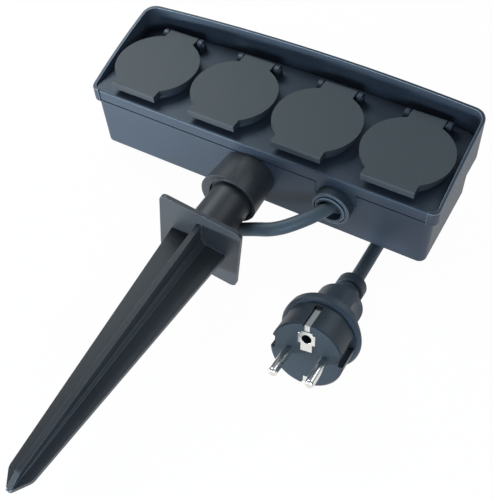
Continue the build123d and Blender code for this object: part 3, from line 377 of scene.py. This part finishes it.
sealLook = {
    "dark": (0.012, 0.012, 0.013), "light": (0.020, 0.020, 0.021), "rubbed": (0.05, 0.05, 0.05),
    "grainScale": 1500.0, "cloudScale": 60.0, "wearScale": 200.0, "wear": 0.15,
    "rough": (0.60, 0.75), "bump": 0.2,
}
carrierLook = {
    "dark": (0.46, 0.46, 0.43), "light": (0.58, 0.58, 0.55), "rubbed": (0.70, 0.70, 0.67),
    "grainScale": 2200.0, "cloudScale": 40.0, "wearScale": 140.0, "wear": 0.2,
    "rough": (0.45, 0.58), "bump": 0.15,
}
nickelLook = {
    "dark": (0.66, 0.65, 0.62), "light": (0.80, 0.79, 0.77),
    "grainScale": 900.0, "cloudScale": 120.0, "rough": (0.16, 0.26), "bump": 0.03,
}
zincLook = {
    "dark": (0.42, 0.43, 0.44), "light": (0.56, 0.57, 0.58),
    "grainScale": 1500.0, "cloudScale": 150.0, "rough": (0.30, 0.45), "bump": 0.06,
}
brassLook = {
    "dark": (0.50, 0.36, 0.14), "light": (0.70, 0.53, 0.25),
    "grainScale": 1200.0, "cloudScale": 90.0, "rough": (0.25, 0.38), "bump": 0.05,
}


def wireLook(dark, light):
    return {
        "dark": dark, "light": light, "rubbed": light, "grainScale": 2500.0, "cloudScale": 80.0,
        "wearScale": 200.0, "wear": 0.1, "rough": (0.32, 0.42), "bump": 0.08,
    }


housingPlastic = mouldedMaterial("housingPlastic", housingLook)
housingEdgeHighlight = mouldedMaterial("housingEdgeHighlight", housingEdgeHighlightLook)
lidPlastic = mouldedMaterial("lidPlastic", lidLook)
spikePlastic = mouldedMaterial("spikePlastic", spikeLook)
cableRubber = mouldedMaterial("cableRubber", cableLook)
plugPlastic = mouldedMaterial("plugPlastic", plugLook)
plugFacePlastic = mouldedMaterial("plugFacePlastic", plugFaceLook)
glandRubber = mouldedMaterial("glandRubber", glandLook)
sealRubber = mouldedMaterial("sealRubber", sealLook)
carrierPlastic = mouldedMaterial("carrierPlastic", carrierLook)
brownCore = mouldedMaterial("brownCore", wireLook((0.11, 0.045, 0.02), (0.17, 0.075, 0.035)))
blueCore = mouldedMaterial("blueCore", wireLook((0.02, 0.09, 0.36), (0.05, 0.15, 0.50)))
greenCore = mouldedMaterial("greenCore", wireLook((0.16, 0.36, 0.05), (0.26, 0.46, 0.09)))
nickel = metalMaterial("nickel", nickelLook)
zincSteel = metalMaterial("zincSteel", zincLook)
brass = metalMaterial("brass", brassLook)
cablePiece.data.materials.append(cableRubber)
print("materials made")


# pieces: every shell is made from its frame node's faces, with its edges rounded as moulded
edgeRule = {
    "merge": 0.004 * mm,
    "flatDeg": 0.6,
    "roundDeg": 32,
    "sharpDeg": 40,
    "segments": 2,
    "faceWeight": 80,
}


def tidyFaces(mesh):
    work = bmesh.new()
    work.from_mesh(mesh)
    bmesh.ops.remove_doubles(work, verts=work.verts, dist=edgeRule["merge"])
    bmesh.ops.dissolve_limit(
        work, angle_limit=math.radians(edgeRule["flatDeg"]), use_dissolve_boundaries=False,
        verts=work.verts, edges=work.edges, delimit=set(),
    )
    bmesh.ops.recalc_face_normals(work, faces=work.faces)
    work.to_mesh(mesh)
    work.free()


def applyModifiers(piece):
    depsgraph = bpy.context.evaluated_depsgraph_get()
    result = bpy.data.meshes.new_from_object(piece.evaluated_get(depsgraph))
    piece.modifiers.clear()
    piece.data = result


def roundedPiece(spec):
    # the bevel's own faces take the edge material where the piece has one, a lighter tone that paints a
    # highlight on the rounded edges
    mesh = nodes[spec["node"]].data.copy()
    mesh.name = spec["name"]
    mesh.materials.clear()
    mesh.materials.append(spec["material"])
    if "edge" in spec:
        mesh.materials.append(spec["edge"])
    if "custom_normal" in mesh.attributes:
        mesh.attributes.remove(mesh.attributes["custom_normal"])
    for face in mesh.polygons:
        face.material_index = 0
    piece = bpy.data.objects.new(spec["name"], mesh)
    scene.collection.objects.link(piece)
    tidyFaces(mesh)
    if spec["bevel"] > 0:
        soften = piece.modifiers.new("edges", "BEVEL")
        soften.width = spec["bevel"] * mm
        soften.segments = edgeRule["segments"]
        soften.limit_method = "ANGLE"
        soften.angle_limit = math.radians(edgeRule["roundDeg"])
        soften.use_clamp_overlap = True
        if "edge" in spec:
            soften.material = 1
        applyModifiers(piece)
    for face in piece.data.polygons:
        face.use_smooth = True
    piece.data.set_sharp_from_angle(angle=math.radians(edgeRule["sharpDeg"]))
    weigh = piece.modifiers.new("normals", "WEIGHTED_NORMAL")
    weigh.keep_sharp = True
    weigh.weight = edgeRule["faceWeight"]
    applyModifiers(piece)
    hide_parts(spec["node"])
    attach(piece, spec["body"])
    return piece


def shell(node, name, material, bevel, slot, body="root", edge=None):
    spec = {
        "node": node, "name": name, "material": material, "bevel": bevel,
        "slot": slot, "body": body,
    }
    if edge:
        spec["edge"] = edge
    return spec


# node, piece, material, width of the rounding in mm, slot, body, and the rounding's material, whose
# lighter tone is a painted highlight
shells = [
    shell("base_housing", "baseHousing", housingPlastic, 0.5, "housing_plastic", edge=housingEdgeHighlight),
    shell("front_cover", "frontCover", housingPlastic, 0.4, "housing_plastic", edge=housingEdgeHighlight),
    shell("rain_hood", "rainHood", housingPlastic, 0.45, "housing_plastic", edge=housingEdgeHighlight),
    shell("spike_tube", "spikeTube", spikePlastic, 0.55, "housing_plastic", edge=housingEdgeHighlight),
    shell("cable_gland", "cableGland", glandRubber, 0.4, "cable_rubber", edge=housingEdgeHighlight),
    shell("ground_spike", "groundSpike", spikePlastic, 0.5, "spike_plastic", "spike", edge=housingEdgeHighlight),
    shell("spike_bush", "spikeBush", spikePlastic, 0.3, "spike_plastic", "bush_ring"),
    shell("plug_insert", "plugInsert", plugFacePlastic, 0.35, "plug_plastic", edge=housingEdgeHighlight),
    shell("plug_body", "plugBody", plugPlastic, 0.35, "plug_plastic"),
    shell("plug_tail", "plugTail", glandRubber, 0.3, "cable_rubber"),
    shell("plug_pins", "plugPins", nickel, 0.0, "nickel"),
    shell("plug_earth_straps", "plugEarthStraps", nickel, 0.12, "nickel"),
]
for number in range(1, 5):
    body = f"lid_leaf_{number}"
    shells.append(shell(f"lid_{number}", f"lid{number}", lidPlastic, 0.5, "lid_plastic", body))
    shells.append(shell(
        f"socket_cup_{number}", f"socketCup{number}", plugPlastic, 0.3, "cup_plastic",
    ))

for spec in shells:
    roundedPiece(spec)

# nodes whose own shape is right keep it and take a material
nodeFinish = {
    "cover_gasket": sealRubber, "cable_sheath": cableRubber, "hank_ties": plugPlastic,
    "live_rail": brass, "neutral_rail": brass, "earth_rail": brass,
    "contact_carrier": carrierPlastic, "cable_clamp": carrierPlastic,
    "housing_screws": zincSteel, "carrier_screws": zincSteel, "terminal_screws": zincSteel,
    "clamp_screws": zincSteel, "tube_screws": zincSteel,
    "wire_live": brownCore, "wire_neutral": blueCore, "wire_earth": greenCore,
}
for number in range(1, 5):
    nodeFinish[f"lid_seal_{number}"] = sealRubber
    nodeFinish[f"hinge_pin_{number}"] = zincSteel
    nodeFinish[f"lid_spring_{number}"] = zincSteel
for nodeName, material in nodeFinish.items():
    finish = nodes[nodeName].data.materials
    finish.clear()
    finish.append(material)
print("node finishes set:", len(nodeFinish))


# floor, light and background
floorSpec = {
    "size": 6.0,
    "cells": 8,
    "colour": (0.78, 0.78, 0.78, 1.0),
    "rough": 0.9,
    "whiteShare": 0.975,
}


def makeFloor():
    # pale floor that the camera and reflections see as almost white, with the shadow kept
    work = bmesh.new()
    cells = floorSpec["cells"]
    bmesh.ops.create_grid(work, x_segments=cells, y_segments=cells, size=floorSpec["size"])
    mesh = bpy.data.meshes.new("studioFloor")
    work.to_mesh(mesh)
    work.free()
    floor = bpy.data.objects.new("studioFloor", mesh)
    scene.collection.objects.link(floor)
    material, tree, shader = plainMaterial(
        "studioFloor", {"Roughness": floorSpec["rough"], "Base Color": floorSpec["colour"]},
    )
    glow = addNode(tree, "ShaderNodeEmission", {"Color": (1.0, 1.0, 1.0, 1.0)})
    path = addNode(tree, "ShaderNodeLightPath")
    seen = addNode(tree, "ShaderNodeMath", operation="MAXIMUM")
    seenToo = addNode(tree, "ShaderNodeMath", operation="MAXIMUM")
    share = addNode(tree, "ShaderNodeMath", operation="MULTIPLY")
    share.inputs[1].default_value = floorSpec["whiteShare"]
    blend = addNode(tree, "ShaderNodeMixShader")
    links = tree.links
    links.new(path.outputs["Is Camera Ray"], seen.inputs[0])
    links.new(path.outputs["Is Glossy Ray"], seen.inputs[1])
    links.new(seen.outputs["Value"], seenToo.inputs[0])
    links.new(path.outputs["Is Transmission Ray"], seenToo.inputs[1])
    links.new(seenToo.outputs["Value"], share.inputs[0])
    links.new(share.outputs["Value"], blend.inputs["Fac"])
    links.new(shader.outputs["BSDF"], blend.inputs[1])
    links.new(glow.outputs["Emission"], blend.inputs[2])
    links.new(blend.outputs["Shader"], tree.nodes["Material Output"].inputs["Surface"])
    mesh.materials.append(material)


lampSpecs = [
    {"name": "keyLamp", "place": (-0.36, 0.12, 0.50), "aim": (0.0, -0.01, 0.03),
     "wide": 0.34, "high": 0.34, "power": 2.7, "colour": (0.93, 0.98, 1.0)},
    {"name": "sideLamp", "place": (-0.36, -0.62, 0.014), "aim": (-0.02, -0.03, 0.02),
     "wide": 0.5, "high": 0.022, "power": 9.0, "colour": (0.80, 0.93, 1.0)},
    {"name": "fillLamp", "place": (0.30, -0.70, 0.22), "aim": (0.02, 0.0, 0.04),
     "wide": 0.4, "high": 0.2, "power": 4.5, "colour": (0.66, 0.84, 1.0)},
    {"name": "backLamp", "place": (0.5, 0.9, 0.8), "aim": (0.0, 0.0, 0.03),
     "wide": 0.55, "high": 0.55, "power": 4.0, "colour": (0.93, 0.97, 1.0)},
]


def makeLamp(spec):
    data = bpy.data.lights.new(spec["name"], "AREA")
    data.shape = "RECTANGLE"
    data.size = spec["wide"]
    data.size_y = spec["high"]
    data.energy = spec["power"]
    data.color = spec["colour"]
    lamp = bpy.data.objects.new(spec["name"], data)
    scene.collection.objects.link(lamp)
    lamp.location = spec["place"]
    toward = Vector(spec["aim"]) - Vector(spec["place"])
    lamp.rotation_euler = toward.to_track_quat("-Z", "Y").to_euler()


worldSpec = {"colour": (0.80, 0.92, 1.0, 1.0), "strength": 0.34}


def makeWorld():
    # the camera sees plain white, everything else a soft bluish light
    world = bpy.data.worlds.new("studio")
    world.use_nodes = True
    scene.world = world
    tree = world.node_tree
    soft = tree.nodes["Background"]
    setSockets(soft, {"Color": worldSpec["colour"], "Strength": worldSpec["strength"]})
    white = addNode(
        tree, "ShaderNodeBackground", {"Color": (1.0, 1.0, 1.0, 1.0), "Strength": 1.0},
    )
    path = addNode(tree, "ShaderNodeLightPath")
    blend = addNode(tree, "ShaderNodeMixShader")
    tree.links.new(path.outputs["Is Camera Ray"], blend.inputs["Fac"])
    tree.links.new(soft.outputs["Background"], blend.inputs[1])
    tree.links.new(white.outputs["Background"], blend.inputs[2])
    tree.links.new(blend.outputs["Shader"], tree.nodes["World Output"].inputs["Surface"])


makeFloor()
for spec in lampSpecs:
    makeLamp(spec)
makeWorld()
scene.view_settings.view_transform = "Standard"
print("stage set")
